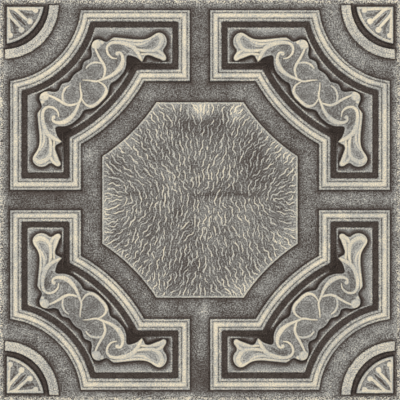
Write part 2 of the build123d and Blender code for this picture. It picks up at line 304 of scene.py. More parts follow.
# The fan's drops, balls and slots, in the same way
FAN_RIBS = [
    ([(12, 9.5, 5.6), (17, 11, 5.0), (21, 13.5, 4.4), (27, 19, 4.4), (33, 24.5, 3.8),
      (37, 27, 3.2)], 0.9, 1.0),
    ([(18, 10.4, 3.4), (27, 11.4, 3.4), (36, 12.2, 2.8), (43, 12.8, 2.6)], 0.7, 0.9),
]
FAN_TONE = 0.56
FAN_CREAM = 0.87
FAN_BALLS = [(37.6, 27.0, 4.3, 1.2), (44.6, 13.2, 3.9, 1.1)]
FAN_SINKS = [
    ([(17, 17, 1.8), (24, 24, 4.6), (31.5, 31.5, 2.0)], 0.9),
    ([(26, 14.8, 1.8), (34, 18.4, 5.0), (41, 19.5, 4.6)], 0.6),
]

# The square that each fine grid covers, from its low to its high corner, and its step
PANEL_GRID = (-121.5, 121.5, 0.75)
FAN_GRID = (HALF - 56, HALF - 8, 0.4)
SCROLL_GRID = (HALF - 215, HALF - 35, 0.5)
# Points nearer than this, in metres, are one, and a grid's rows are told apart to this many decimals
SAME_POINT = 2e-6
GRID_DECIMALS = 5
# Edges under these angles, in degrees, are shaded smooth
SHEET_ANGLE = 30
SECTION_ANGLE = 50
RELIEF_ANGLE = 60
# How many widths a softening reaches, and a length too small to matter
SOFT_REACH = 2.6
TINY = 1e-12

# The paint by tone, as screen colours
PAINT = [
    (0.10, (30, 21, 16)), (0.20, (60, 50, 43)), (0.28, (82, 72, 66)), (0.38, (103, 97, 92)),
    (0.475, (124, 122, 117)), (0.59, (152, 150, 145)), (0.66, (171, 169, 163)), (0.76, (199, 197, 187)),
    (0.85, (227, 216, 192)), (0.95, (252, 238, 208)),
]
# The paint's grain: blotches to the metre, detail and strength of its speckle, flecks and mottle
SPECKLE = (620, 2.0, 1.4)
FLECKS = (1500, 1.0, 0.5)
MOTTLE = (110, 2.0, 0.34)
# The flecks' share in the height of the grain
FLECK_HEIGHT = 0.5
# The grain's share in the darkest paint and in the cream, after the tones between which it changes
DARK_GRAIN = (0.24, 0.46, 0.40)
CREAM_GRAIN = (0.58, 0.78, 0.52)
# The paint's slow clouding, in the same way, and the tones between which it sets in
CLOUD = (24, 2.0, 0.32)
CLOUD_TONES = (0.22, 0.42)
# Two tones, and the paint's roughness at each
PAINT_ROUGHNESS = (0.25, 0.85, 0.78, 0.56)
GLOSS = 0.3
NOISE_ROUGHNESS = 0.6
# How high the grain stands on the raised forms and on the sheet, in metres, and the bump's strength
RELIEF_BUMP = 0.00035
SHEET_BUMP = 0.0003
BUMP_STRENGTH = 0.6
# The ragged edge of the paint on the sheet's sides: blotches to the metre, detail and depth, then the heights
# where the paint starts and covers, in metres
RAGGED = (240, 3.0, 0.0022)
PAINT_START = (0.0021, 0.0037)
# Bare foam: cells to the metre, the shade at their edges, the shade in all, and its clouding
FOAM_CELLS = 750
CELL_SHADE = -0.12
FOAM_SHADE = 0.90
FOAM_CLOUD = (30, 3.0, 0.08)
FOAM_COLOURS = ((120, 119, 116), (246, 245, 240))
# The sockets that a Mix node uses for colours
MIX_FIRST = 6
MIX_SECOND = 7
MIX_RESULT = 2

# The bow of lighter paint between each corner's ring and its frame: radius, reach and tone added
CORNER_BOW = (88.0, 15.0, 0.06)
# How much stronger than usual the paint's grain is on some pieces
SCROLL_GRAIN = -0.35
PANEL_GRAIN = -0.2
FAN_GRAIN = -0.25
RING_GRAIN = 0.4
RIM_GRAIN = 1.0
# Patches of the flat where the paint is lighter or darker: x, y, reach along x and y, and tone added
FLAT_PATCHES = [
    (-146, 56, 18, 12, 0.14), (6, -137, 7, 18, 0.16), (196, 2, 46, 9, 0.12), (188, 188, 34, 34, 0.08),
    (188, -188, 34, 34, 0.07), (-188, 4, 46, 12, -0.10), (0, -222, 12, 26, -0.12), (0, 144, 60, 10, -0.05),
    (0, 206, 8, 40, -0.04),
]
# The same on the octagon, with a dark crease across it
PANEL_PATCHES = [
    (0, 114, 13, 13, 0.27), (44, 108, 9, 12, 0.22), (108, 55, 10, 22, 0.12), (102, -50, 20, 15, 0.10),
    (-60, -98, 18, 13, 0.07), (48, -108, 18, 9, 0.08), (-116, -20, 12, 40, 0.06), (68, 42, 20, 52, -0.09),
    (5, 92, 50, 12, -0.08), (-10, -82, 26, 13, -0.07), (0, -121, 46, 6, -0.06), (30, 7, 48, 3.5, -0.12),
    (-90, 8, 30, 3.5, -0.07),
]


# Outlines

def unit(vector):
    return vector / np.linalg.norm(vector)


def bend(place, back, ahead, radius, steps=4):
    """Points round a corner of an outline, between the directions back and ahead from it."""
    turn = math.acos(max(-1.0, min(1.0, float(np.dot(back, ahead)))))
    reach = radius / math.tan(turn / 2)
    start, end = place + back * reach, place + ahead * reach
    parts = [index / steps for index in range(steps + 1)]
    return [start * (1 - p) ** 2 + place * 2 * p * (1 - p) + end * p * p for p in parts]


def arc(centre, radius, first, last, count):
    """Points along an arc, both ends included."""
    angles = np.linspace(first, last, count + 1)
    return [np.array([centre + radius * math.cos(a), centre + radius * math.sin(a)]) for a in angles]


def frame_path(inset, corner=0.0):
    """The angled frame's outline, drawn in by inset, with its corners rounded."""
    near, far = FRAME_MARGIN + inset, HALF - FRAME_GAP / 2 - inset
    arm = FRAME_MARGIN + FRAME_ARM - inset
    inner, outer = FRAME_INNER_RADIUS + inset, FRAME_OUTER_RADIUS - inset
    low, high = math.asin(near / inner), math.asin(arm / outer)
    inner_arc = arc(0, inner, math.pi / 2 - low, low, FRAME_INNER_STEPS)
    outer_arc = arc(0, outer, high, math.pi / 2 - high, FRAME_OUTER_STEPS)
    corners = [inner_arc[-1], np.array([far, near]), np.array([far, arm]), outer_arc[0]]
    corners += [outer_arc[-1], np.array([arm, far]), np.array([near, far]), inner_arc[0]]
    path = []
    # The inner arc runs from the last corner to the first, and the outer one from 3 to 4
    for index, place in enumerate(corners):
        before = {0: inner_arc[-ARC_TRIM], 4: outer_arc[-ARC_TRIM]}.get(index, corners[index - 1])
        following = corners[(index + 1) % len(corners)]
        after = {3: outer_arc[ARC_TRIM - 1], 7: inner_arc[ARC_TRIM - 1]}.get(index, following)
        path += bend(place, unit(before - place), unit(after - place), corner)
        path += {3: outer_arc[ARC_TRIM:-ARC_TRIM], 7: inner_arc[ARC_TRIM:-ARC_TRIM]}.get(index, [])
    return path


def fan_path(inset):
    """The quarter fan's outline, drawn in by inset."""
    near, radius = FAN_MARGIN + inset, FAN_RADIUS - inset
    edge = math.asin(near / radius)
    far = radius * math.cos(edge)
    side = [np.array([near + (far - near) * step / FAN_SIDE_STEPS, near]) for step in range(FAN_SIDE_STEPS)]
    round_side = arc(0, radius, edge, math.pi / 2 - edge, FAN_ARC_STEPS)
    return side + round_side + [point[::-1] for point in side[:0:-1]]


def ring_path(inset):
    """The quarter ring's outline, drawn in by inset."""
    near = RING_MARGIN + inset - RING_CENTRE
    path = []
    for radius, way in ((RING_INNER + RING_WIDTH - inset, 1), (RING_INNER + inset, -1)):
        edge = math.asin(near / radius)
        path += arc(RING_CENTRE, radius, edge, math.pi / 2 - edge, RING_STEPS)[::way]
    return path


def panel_path(inset):
    """The octagon's outline, laid out from the tile's centre."""
    side, radius = PANEL_REACH - inset, PANEL_ARC + inset
    low = math.asin((HALF - side) / radius)
    cut = [HALF - point for point in arc(0, radius, math.pi / 2 - low, low, PANEL_STEPS)]
    path = []
    for _ in range(4):
        path += cut
        cut = [np.array([-y, x]) for x, y in cut]
    return path


def square_path(inset):
    reach = HALF - inset
    corners = ((reach, -reach), (reach, reach), (-reach, reach), (-reach, -reach))
    return [np.array(corner) for corner in corners]


def from_corner(path):
    """A path laid out from the tile's corner, as x and y in the quarter where both are positive."""
    return [HALF - point for point in path]


# How far places lie inside an outline

def from_straights(u, v):
    """How far places lie inside the frame's straight outer sides."""
    return np.minimum(np.minimum(u, v) - FRAME_MARGIN, HALF - FRAME_GAP / 2 - np.maximum(u, v))


def from_arcs(u, v):
    """How far places lie inside the frame's two arcs and its arms' inner sides."""
    away = np.hypot(u, v)
    arm = np.maximum(FRAME_MARGIN + FRAME_ARM - np.minimum(u, v), FRAME_OUTER_RADIUS - away)
    return np.minimum(away - FRAME_INNER_RADIUS, arm)


def frame_inset(u, v):
    return np.minimum(from_straights(u, v), from_arcs(u, v))


def fan_inset(u, v):
    return np.minimum(np.minimum(u, v) - FAN_MARGIN, FAN_RADIUS - np.hypot(u, v))


def panel_inset(u, v):
    return np.minimum(PANEL_REACH - HALF + np.minimum(u, v), np.hypot(u, v) - PANEL_ARC)


# Meshes

def select_only(*pieces):
    bpy.ops.object.select_all(action="DESELECT")
    for piece in pieces:
        piece.select_set(True)
        bpy.context.view_layer.objects.active = piece


def grid(name, columns, rows):
    """A grid primitive, and its vertices' order row by row."""
    select_only()
    bpy.ops.mesh.primitive_grid_add(x_subdivisions=columns - 1, y_subdivisions=rows - 1, size=2)
    piece = bpy.context.object
    piece.name = piece.data.name = name
    flat = np.zeros(len(piece.data.vertices) * 3)
    piece.data.vertices.foreach_get("co", flat)
    x, y = flat[0::3], flat[1::3]
    return piece, np.lexsort((x.round(GRID_DECIMALS), y.round(GRID_DECIMALS)))


def shape(piece, order, places, tones):
    """Puts the grid's vertices at places in millimetres, with the paint's tone at each."""
    flat, values = np.zeros((len(order), 3)), np.zeros(len(order), np.float32)
    flat[order] = np.asarray(places, float) * MM
    values[order] = tones
    piece.data.vertices.foreach_set("co", flat.ravel())
    piece.data.attributes.new("tone", "FLOAT", "POINT").data.foreach_set("value", values)
    piece.data.update()


def grained(piece, added):
    """Marks how much stronger than usual the paint's grain is on a piece, as a share."""
    values = np.full(len(piece.data.vertices), added, np.float32)
    piece.data.attributes.new("added_grain", "FLOAT", "POINT").data.foreach_set("value", values)
    return piece


def shaded(piece, start, limit):
    """Keeps the paint on a frame's moulding, from an inset on, under the tone that limit gives."""
    count = len(piece.data.vertices)
    places, tones = np.zeros(count * 3), np.zeros(count, np.float32)
    piece.data.vertices.foreach_get("co", places)
    piece.data.attributes["tone"].data.foreach_get("value", tones)
    u, v = HALF - places[0::3] / MM, HALF - places[1::3] / MM
    tones = np.where(frame_inset(u, v) > start, np.minimum(tones, limit(u, v)), tones)
    piece.data.attributes["tone"].data.foreach_set("value", tones.astype(np.float32))
    return piece


def face_up(piece):
    """Turns the faces so that they look up on the whole."""
    normals, areas = np.zeros(len(piece.data.polygons) * 3), np.zeros(len(piece.data.polygons))
    piece.data.polygons.foreach_get("normal", normals)
    piece.data.polygons.foreach_get("area", areas)
    if (normals[2::3] * areas).sum() < 0:
        piece.data.flip_normals()


def rolled(name, rows, solid=False):
    """A grid rolled round an outline, with a row for each step of a section: path, height and tone."""
    columns = len(rows[0][0]) + 1
    piece, order = grid(name, columns, len(rows))
    places = [(x, y, height) for path, height, _ in rows for x, y in list(path) + [path[0]]]
    shape(piece, order, places, np.repeat([tone for _, _, tone in rows], columns))
    bpy.ops.object.mode_set(mode="EDIT")
    bpy.ops.mesh.select_all(action="SELECT")
    bpy.ops.mesh.remove_doubles(threshold=SAME_POINT)
    if solid:
        bpy.ops.mesh.fill_holes(sides=0)
        bpy.ops.mesh.select_all(action="SELECT")
        bpy.ops.mesh.normals_make_consistent(inside=False)
    bpy.ops.object.mode_set(mode="OBJECT")
    if not solid:
        face_up(piece)
    return piece


def smoothed(piece, degrees):
    select_only(piece)
    bpy.ops.object.shade_smooth_by_angle(angle=math.radians(degrees))
    return piece


def joined(name, parts):
    select_only(*parts)
    bpy.ops.object.join()
    piece = bpy.context.object
    piece.name = piece.data.name = name
    return piece


def relief(name, low, high, step, sculpt):
    """A fine square grid. sculpt gives each place's height, whether it is kept, and its tone."""
    count = int(round((high - low) / step)) + 1
    piece, order = grid(name, count, count)
    x, y = np.meshgrid(np.linspace(low, high, count), np.linspace(low, high, count))
    height, kept, tone = sculpt(x, y, step)
    shape(piece, order, np.stack([x.ravel(), y.ravel(), height.ravel()], 1), tone.ravel())
    inside = np.zeros(len(order), bool)
    inside[order] = kept.ravel()
    corners = np.zeros(len(piece.data.loops), np.int32)
    piece.data.loops.foreach_get("vertex_index", corners)
    bpy.ops.object.mode_set(mode="EDIT")
    bpy.ops.mesh.select_mode(type="FACE")
    bpy.ops.mesh.select_all(action="DESELECT")
    bpy.ops.object.mode_set(mode="OBJECT")
    piece.data.polygons.foreach_set("select", ~inside[corners].reshape(-1, 4).all(1))
    bpy.ops.object.mode_set(mode="EDIT")
    bpy.ops.mesh.delete(type="FACE")
    bpy.ops.object.mode_set(mode="OBJECT")
    face_up(piece)
    return smoothed(piece, RELIEF_ANGLE)


def four_of(piece):
    """The piece with its mirror images in the other three quarters."""
    quarters = [piece]
    for name, x_way, y_way in (("left", -1, 1), ("low_left", -1, -1), ("low", 1, -1)):
        select_only(piece)
        bpy.ops.object.duplicate()
        copy = bpy.context.object
        copy.name = copy.data.name = f"{piece.name}_{name}"
        copy.data.transform(Matrix.Diagonal((x_way, y_way, 1, 1)))
        if x_way * y_way < 0:
            copy.data.flip_normals()
        quarters.append(copy)
    return quarters


# Sculpting

def smooth_step(value, low, high):
    share = np.clip((value - low) / (high - low), 0, 1)
    return share * share * (3 - 2 * share)


def read(table, places):
    """A table's last column at places along its first."""
    return np.interp(places, [row[0] for row in table], [row[-1] for row in table])


def blurred(field, width, step):
    """The field softened over a width in millimetres."""
    reach = int(math.ceil(SOFT_REACH * width / step))
    weights = np.exp(-0.5 * (np.arange(-reach, reach + 1) * step / width) ** 2)
    weights /= weights.sum()
    for _ in range(2):
        wide = np.pad(field, ((0, 0), (reach, reach)), mode="edge")
        shifted = (weight * wide[:, index : index + field.shape[1]] for index, weight in enumerate(weights))
        field = sum(shifted).T
    return field


def through(points, spacing):
    """Places at about a spacing along a smooth curve through the points."""
    points = np.array(points, float)
    ends = np.vstack([2 * points[0] - points[1], points, 2 * points[-1] - points[-2]])
    places = []
    for a, b, c, d in zip(ends, ends[1:], ends[2:], ends[3:]):
        for t in np.arange(0, 1, spacing / max(spacing, math.hypot(*(c - b)[:2]))):
            twice = 2 * b + (c - a) * t + (2 * a - 5 * b + 4 * c - d) * t**2 + (3 * b - a - 3 * c + d) * t**3
            places.append(twice / 2)
    return np.array(places + [points[-1]])


def nearness(u, v, strip):
    """1 along a strip's middle and 0 at its edges. u runs along the rows and v down the columns."""
    near = np.zeros(u.shape)
    for middle_u, middle_v, width in through(strip, STRIP_STEP):
        part = np.ix_(abs(v[:, 0] - middle_v) < width / 2, abs(u[0] - middle_u) < width / 2)
        gap = ((u[part] - middle_u) ** 2 + (v[part] - middle_v) ** 2) / (width / 2) ** 2
        near[part] = np.maximum(near[part], 1 - gap)
    return near


def carve(u, v, ribs, balls, sinks):
    """The rise, the cream's cover and the sinking of ribs, balls and hollows, alike across the diagonal."""
    rise, cream, sunk = np.zeros(u.shape), np.zeros(u.shape), np.zeros(u.shape)
    for strip, lift, cover in ribs:
        near = nearness(u, v, strip)
        rise = np.maximum(rise, lift * near**RIB_FULLNESS)
        cream = np.maximum(cream, cover * smooth_step(near, *RIB_CREAM))
    for middle_u, middle_v, radius, lift in balls:
        near = np.clip(1 - ((u - middle_u) ** 2 + (v - middle_v) ** 2) / radius**2, 0, 1)
        rise = np.maximum(rise, lift * near**BALL_FULLNESS)
        cream = np.maximum(cream, smooth_step(near, *BALL_CREAM))
    for strip, depth in sinks:
        sunk = np.maximum(sunk, depth * smooth_step(nearness(u, v, strip), *SINK_FADE))
    return (np.maximum(field, field.T) for field in (rise, cream, sunk))


def crests(height, width, step):
    """1 on a crest, -1 in a hollow and 0 on a slope, beside the places within a width."""
    return np.clip((height - blurred(height, width, step)) / FULL_CREST, -1, 1)


def inside_outline(u, v, outline):
    """How far places lie inside a closed outline, less than 0 outside it."""
    gap, inside = np.full(u.shape, np.inf), np.zeros(u.shape, bool)
    for (au, av), (bu, bv) in zip(outline, np.roll(outline, -1, 0)):
        du, dv = bu - au, bv - av
        along = np.clip(((u - au) * du + (v - av) * dv) / (du * du + dv * dv + TINY), 0, 1)
        gap = np.minimum(gap, (u - au - along * du) ** 2 + (v - av - along * dv) ** 2)
        if av != bv:
            inside ^= ((av > v) != (bv > v)) & (u < au + (v - av) * du / dv)
    return np.where(inside, 1, -1) * np.sqrt(gap)


def elbow_shade_limit(u, v):
    """The lightest tone that the painted shade in the dark elbow under the barb leaves."""
    elbow_u, elbow_v, reach = SHADED_ELBOW
    away = np.hypot(np.maximum(u, v) - elbow_u, np.minimum(u, v) - elbow_v) / reach
    return ELBOW_SHADE_TONE + (1 - ELBOW_SHADE_TONE) * smooth_step(away, *ELBOW_SHADE_FADE)


def scroll(x, y, step):
    """The field inside a frame with its scroll ornament."""
    u, v = HALF - x, HALF - y
    inset = frame_inset(u, v)
    half = through(SCROLL_OUTLINE, OUTLINE_STEP)
    body = inside_outline(u, v, np.vstack([half, half[-2:0:-1, ::-1]]))
    rise, cream, sunk = carve(u, v, RIBS, BALLS, SINKS)
    carving = smooth_step(body, *CARVING_START)
    carved = (rise - sunk * (1 - cream)) * carving
    height = FIELD_HEIGHT + SCROLL_RISE * smooth_step(body, *SCROLL_FLANK) + carved
    height -= FIELD_DIP * (1 - smooth_step(inset, FIELD_START, FIELD_START + FIELD_DIP_WIDTH))
    crest = crests(height, SCROLL_ABOUT, step)
    towards_ends = smooth_step(np.maximum(u, v), *SCROLL_ENDS)
    body_tone = SCROLL_TONE + (SCROLL_END_TONE - SCROLL_TONE) * towards_ends
    on_crest, in_sink, by_cream = SCROLL_WEAR
    raised = body_tone + on_crest * crest - in_sink * sunk + by_cream * blurred(cream, SCROLL_GLOW, step)
    raised = raised + (CREAM + CREAM_CREST * crest - raised) * cream
    light = OPEN_LIGHT * smooth_step(from_arcs(u, v) - from_straights(u, v), *OPEN_FADE)
    field = read(FIELD_TONES, inset) + light * smooth_step(inset, FIELD_START, FIELD_START + OPEN_DEPTH)
    # The flat takes the painted shadow round the scroll and the painted shade of the elbow
    flat = np.minimum(np.minimum(field, read(SCROLL_SHADOW, -body) + light), elbow_shade_limit(u, v))
    tone = flat + (raised - flat) * carving
    return height, inset > FIELD_START, tone


def fan_face(x, y, step):
    """The fan's face with its drops."""
    u, v = HALF - x, HALF - y
    inset = fan_inset(u, v)
    rise, cream, sunk = carve(u, v, FAN_RIBS, FAN_BALLS, FAN_SINKS)
    inner, outer = FAN_BAND_SLOPE
    band = 1 - smooth_step(inset, FAN_BAND + inner, FAN_BAND + outer)
    height = FAN_FACE + FAN_BAND_RISE * band + rise - sunk * (1 - cream)
    height -= FAN_DIP * (1 - smooth_step(inset, FAN_START, FAN_START + FAN_DIP_WIDTH))
    crest = crests(height, FAN_ABOUT, step)
    on_crest, in_sink, by_cream = FAN_WEAR
    tone = FAN_TONE + on_crest * crest - in_sink * sunk + FAN_BAND_TONE * band
    tone = tone + by_cream * blurred(cream, FAN_GLOW, step)
    return height, inset > FAN_START, tone + (FAN_CREAM - tone) * cream


def wrinkle_lines(run, inset, step, chance, spacing, reach, width):
    """Wandering lines that follow a direction and keep their spacing, as places in cells with a width."""
    cells = spacing / step
    crowded, crossed = np.zeros(run.shape, bool), np.zeros(run.shape, bool)
    lines = []
    for seed in chance.uniform(0, len(run) - 1, (WRINKLE_TRIES, 2)):
        row, column = seed.astype(int)
        if crowded[row, column] or inset[row, column] < PANEL_START:
            continue
        phase, sway = chance.uniform(0, 2 * math.pi), chance.uniform(*SWAY_ANGLES)
        sides = []
        for way in (1, -1):
            place, side, last = seed.copy(), [], np.zeros(2)
            for index in range(int(chance.uniform(*REACH_SHARES) * reach)):
                row, column = place.round().astype(int)
                turn = run[row, column] + sway * math.sin(phase + way * index * 2 * math.pi / WRINKLE_SWAY)
                ahead = way / step * np.array([math.sin(turn), math.cos(turn)])
                last = -ahead if ahead @ last < 0 else ahead
                place = place + last
                row, column = place.round().astype(int)
                if not (0 <= row < len(run) and 0 <= column < len(run)):
                    break
                if crossed[row, column] or inset[row, column] < PANEL_START:
                    break
                side.append(place)
            sides.append(side)
        line = sides[1][::-1] + [seed] + sides[0]
        if len(line) < SHORTEST_WRINKLE:
            continue
        for row, column in np.round(line).astype(int):
            for taken, share in ((crowded, 1.0), (crossed, CROSSING_GAP)):
                gap = int(cells * share)
                taken[max(0, row - gap) : row + gap + 1, max(0, column - gap) : column + gap + 1] = True
        ends = np.minimum(np.arange(len(line)), np.arange(len(line))[::-1])
        widths = width * np.clip(TIP_WIDTH + TIP_GROWTH * ends, 0, 1) * chance.uniform(*WIDTH_SHARES)
        lines.append(np.column_stack([np.array(line)[:, ::-1] * step, widths]))
    return lines


def wrinkled(x, y, step):
    """The octagon's skin: wandering ridges that run out to its edges, and up and down in its middle."""
    chance = np.random.default_rng(SEED)
    inset = panel_inset(HALF - abs(x), HALF - abs(y))
    upright = UPRIGHT_BASE + np.exp((abs(y) - PANEL_REACH) / UPRIGHT_REACH)
    level = LEVEL_PULL * np.exp((abs(x) - PANEL_REACH) / LEVEL_REACH)
    from_arc = np.hypot(HALF - abs(x), HALF - abs(y)) - PANEL_ARC
    slanted = SLANT_PULL * np.exp(-from_arc / SLANT_REACH) * np.sign(x * y)
    run = math.pi / 2 - 0.5 * np.arctan2(slanted, upright - level)
    for angle, width in WANDER:
        wander = blurred(chance.standard_normal(x.shape), width, step)
        run = run + angle * wander / wander.std()
    u, v = x - x[0, 0], y - y[0, 0]
    ridge = np.zeros(x.shape)
    for spacing, reach, width, strength in WRINKLES:
        for line in wrinkle_lines(run, inset, step, chance, spacing, reach, width):
            near = nearness(u, v, line)
            share = strength * chance.uniform(*STRENGTH_SHARES)
            ridge = np.maximum(ridge, share * smooth_step(near, 0, WRINKLE_FLANK))
    inner = smooth_step(inset, PANEL_START, PANEL_START + PANEL_DIP_WIDTH)
    foot = np.clip(blurred(ridge, FOOT_WIDTH, step) - ridge, 0, 1)
    height = PANEL_TOP - PANEL_DIP * (1 - inner) + (WRINKLE_RISE * ridge - FOOT_DEPTH * foot) * inner
    # Each wrinkle's foot is darkened as painted shade beside the ridge
    tone = PANEL_TONE + WRINKLE_TONE * ridge - FOOT_SHADE * foot
    tone = tone + PANEL_GLOW * (1 - smooth_step(inset, *PANEL_GLOW_FADE))
    for middle_x, middle_y, reach_x, reach_y, added in PANEL_PATCHES:
        away = np.hypot((x - middle_x) / reach_x, (y - middle_y) / reach_y)
        tone += added * (1 - smooth_step(away, *PATCH_FADE))
    own = PANEL_EDGE_SHARE + (1 - PANEL_EDGE_SHARE) * smooth_step(inset, *PANEL_EDGE_FADE)
    return height, inset > PANEL_START, PANEL_EDGE_TONE + (tone - PANEL_EDGE_TONE) * own


# Shader nodes

def node(tree, kind, *values, **settings):
    """A node with its settings. Its inputs are linked or set in order, and None leaves one alone."""
    made = tree.nodes.new("ShaderNode" + kind)
    for name, value in settings.items():
        setattr(made, name, value)
    for socket, value in zip(made.inputs, values):
        if isinstance(value, bpy.types.NodeSocket):
            tree.links.new(value, socket)
        elif value is not None:
            socket.default_value = value
    return made


def maths(tree, kind, *values):
    return node(tree, "Math", *values, operation=kind).outputs[0]


def least(tree, *values):
    found = values[0]
    for value in values[1:]:
        found = maths(tree, "MINIMUM", found, value)
    return found


def length(tree, *sides):
    """The length of a vector given by its sides."""
    vector = node(tree, "CombineXYZ", *sides).outputs[0]
    return node(tree, "VectorMath", vector, operation="LENGTH").outputs["Value"]


def spread(tree, value, low, high, start=0.0, end=1.0):
    """Maps low to high smoothly on to start to end."""
    return node(tree, "MapRange", value, low, high, start, end, interpolation_type="SMOOTHSTEP").outputs[0]


def linear(colour):
    """A screen colour as the renderer counts it."""
    shares = [part / 255 for part in colour]
    return [s / 12.92 if s <= 0.04045 else ((s + 0.055) / 1.055) ** 2.4 for s in shares] + [1.0]


def ramp(tree, value, stops):
    made = node(tree, "ValToRGB", value)
    points = made.color_ramp.elements
    while len(points) < len(stops):
        points.new(1.0)
    for point, (place, colour) in zip(points, stops):
        point.position = place
        point.color = colour
    return made.outputs[0]


def noise(tree, place, scale, detail):
    """Noise with about one blotch to every 1/scale metres."""
    made = node(tree, "TexNoise", place)
    made.inputs["Scale"].default_value = scale
    made.inputs["Detail"].default_value = detail
    made.inputs["Roughness"].default_value = NOISE_ROUGHNESS
    return made.outputs[0]


def new_group(name, inputs, outputs):
    tree = bpy.data.node_groups.new(name, "ShaderNodeTree")
    for title, kind in inputs:
        tree.interface.new_socket(title, in_out="INPUT", socket_type="NodeSocket" + kind)
    for title, kind in outputs:
        tree.interface.new_socket(title, in_out="OUTPUT", socket_type="NodeSocket" + kind)
    return tree, tree.nodes.new("NodeGroupInput").outputs, tree.nodes.new("NodeGroupOutput").inputs


def placed(tree, group, *values):
    """A group's node in a material."""
    made = tree.nodes.new("ShaderNodeGroup")
    made.node_tree = group
    for socket, value in zip(made.inputs, values):
        tree.links.new(value, socket)
    return made.outputs


def flat_tone_group():
    """The paint's tone on the flat of the sheet, by how near the raised forms are, with a painted shadow line
    at their feet.
    """
    tree, start, end = new_group("flat_tone", [("Place", "Vector")], [("Tone", "Float")])
    in_mm = node(tree, "VectorMath", start["Place"], (1 / MM,) * 3, operation="MULTIPLY").outputs[0]
    x, y = node(tree, "SeparateXYZ", in_mm).outputs[:2]
    u, v = (maths(tree, "SUBTRACT", HALF, maths(tree, "ABSOLUTE", axis)) for axis in (x, y))
    low, high = maths(tree, "MINIMUM", u, v), maths(tree, "MAXIMUM", u, v)
    away = length(tree, u, v)
    about = length(tree, *(maths(tree, "SUBTRACT", axis, RING_CENTRE) for axis in (u, v)))

    def over(first, second):
        """How far first lies over second."""
        return maths(tree, "SUBTRACT", first, second)

    arm = maths(tree, "MAXIMUM", over(FRAME_MARGIN + FRAME_ARM, low), over(FRAME_OUTER_RADIUS, away))
    forms = [
        least(tree, over(low, FRAME_MARGIN), over(HALF - FRAME_GAP / 2, high),
              over(away, FRAME_INNER_RADIUS), arm),
        least(tree, over(low, HALF - PANEL_REACH), over(away, PANEL_ARC)),
        least(tree, over(low, FAN_MARGIN), over(FAN_RADIUS, away)),
        least(tree, over(low, RING_MARGIN), over(about, RING_INNER), over(RING_INNER + RING_WIDTH, about)),
    ]
    gap = least(tree, *(maths(tree, "MULTIPLY", form, -1.0) for form in forms))
    # The ramp paints a shadow line at the foot of each raised form
    furthest = FLAT_TONES[-1][0]
    stops = [(place / furthest, (tone, tone, tone, 1)) for place, tone in FLAT_TONES]
    tone = ramp(tree, maths(tree, "DIVIDE", gap, furthest), stops)
    tone = over(tone, spread(tree, about, RING_INNER, RING_INNER + RING_SHADE_FADE, RING_SHADE, 0.0))
    tone = maths(tree, "ADD", tone, spread(tree, low, *RIM_GLOW, 0.0))
    from_bow = maths(tree, "ABSOLUTE", over(away, CORNER_BOW[0]))
    tone = maths(tree, "ADD", tone, spread(tree, from_bow, 0.0, *CORNER_BOW[1:], 0.0))
    for middle_x, middle_y, reach_x, reach_y, added in FLAT_PATCHES:
        across = maths(tree, "DIVIDE", over(x, middle_x), reach_x)
        along = maths(tree, "DIVIDE", over(y, middle_y), reach_y)
        patch = spread(tree, length(tree, across, along), *PATCH_FADE, added, 0.0)
        tone = maths(tree, "ADD", tone, patch)
    tree.links.new(tone, end["Tone"])
    return tree


def aged_paint_group():
    """Worn antique paint for a tone: its colour, roughness and the height of its grain."""
    outputs = [("Color", "Color"), ("Roughness", "Float"), ("Height", "Float")]
    inputs = [("Place", "Vector"), ("Tone", "Float"), ("Added Grain", "Float")]
    tree, start, end = new_group("aged_paint", inputs, outputs)
    place, tone = start["Place"], start["Tone"]
    speckle, flecks, mottle, cloud = (
        maths(tree, "SUBTRACT", noise(tree, place, scale, detail), 0.5)
        for scale, detail, _ in (SPECKLE, FLECKS, MOTTLE, CLOUD)
    )
    grain = maths(tree, "MULTIPLY_ADD", speckle, SPECKLE[2], maths(tree, "MULTIPLY", flecks, FLECKS[2]))
    grain = maths(tree, "MULTIPLY_ADD", mottle, MOTTLE[2], grain)
    first, last, share = DARK_GRAIN
    above_dark = spread(tree, tone, first, last, share, 1.0)
    first, last, share = CREAM_GRAIN
    depth = maths(tree, "MULTIPLY", above_dark, spread(tree, tone, first, last, 1.0, share))
    depth = maths(tree, "MULTIPLY", depth, maths(tree, "ADD", 1.0, start["Added Grain"]))
    patches = maths(tree, "MULTIPLY", cloud, spread(tree, tone, *CLOUD_TONES, 0.0, CLOUD[2]))
    worn = maths(tree, "ADD", maths(tree, "MULTIPLY_ADD", grain, depth, tone), patches)
    tree.links.new(ramp(tree, worn, [(stop, linear(colour)) for stop, colour in PAINT]), end["Color"])
    tree.links.new(spread(tree, worn, *PAINT_ROUGHNESS), end["Roughness"])
    tree.links.new(maths(tree, "MULTIPLY_ADD", flecks, FLECK_HEIGHT, speckle), end["Height"])
    return tree


def bare_foam_group():
    """Unpainted polystyrene foam: its colour and the height of its cells."""
    outputs = [("Color", "Color"), ("Height", "Float")]
    tree, start, end = new_group("bare_foam", [("Place", "Vector")], outputs)
    cells = node(tree, "TexVoronoi", start["Place"])
    cells.inputs["Scale"].default_value = FOAM_CELLS
    scale, detail, strength = FOAM_CLOUD
    cloud = maths(tree, "MULTIPLY_ADD", noise(tree, start["Place"], scale, detail), strength, FOAM_SHADE)
    shade = maths(tree, "MULTIPLY_ADD", cells.outputs["Distance"], CELL_SHADE, cloud)
    tree.links.new(ramp(tree, shade, list(enumerate(map(linear, FOAM_COLOURS)))), end["Color"])
    tree.links.new(maths(tree, "MULTIPLY", cells.outputs["Distance"], -1.0), end["Height"])
    return tree


def new_material(name):
    material = bpy.data.materials.new(name)
    material.use_nodes = True
    tree = material.node_tree
    shader = tree.nodes["Principled BSDF"]
    shader.inputs["Specular IOR Level"].default_value = GLOSS
    return material, tree, shader


def bump(tree, shader, height, distance):
    made = node(tree, "Bump")
    made.inputs["Strength"].default_value = BUMP_STRENGTH
    made.inputs["Distance"].default_value = distance
    tree.links.new(height, made.inputs["Height"])
    tree.links.new(made.outputs[0], shader.inputs["Normal"])


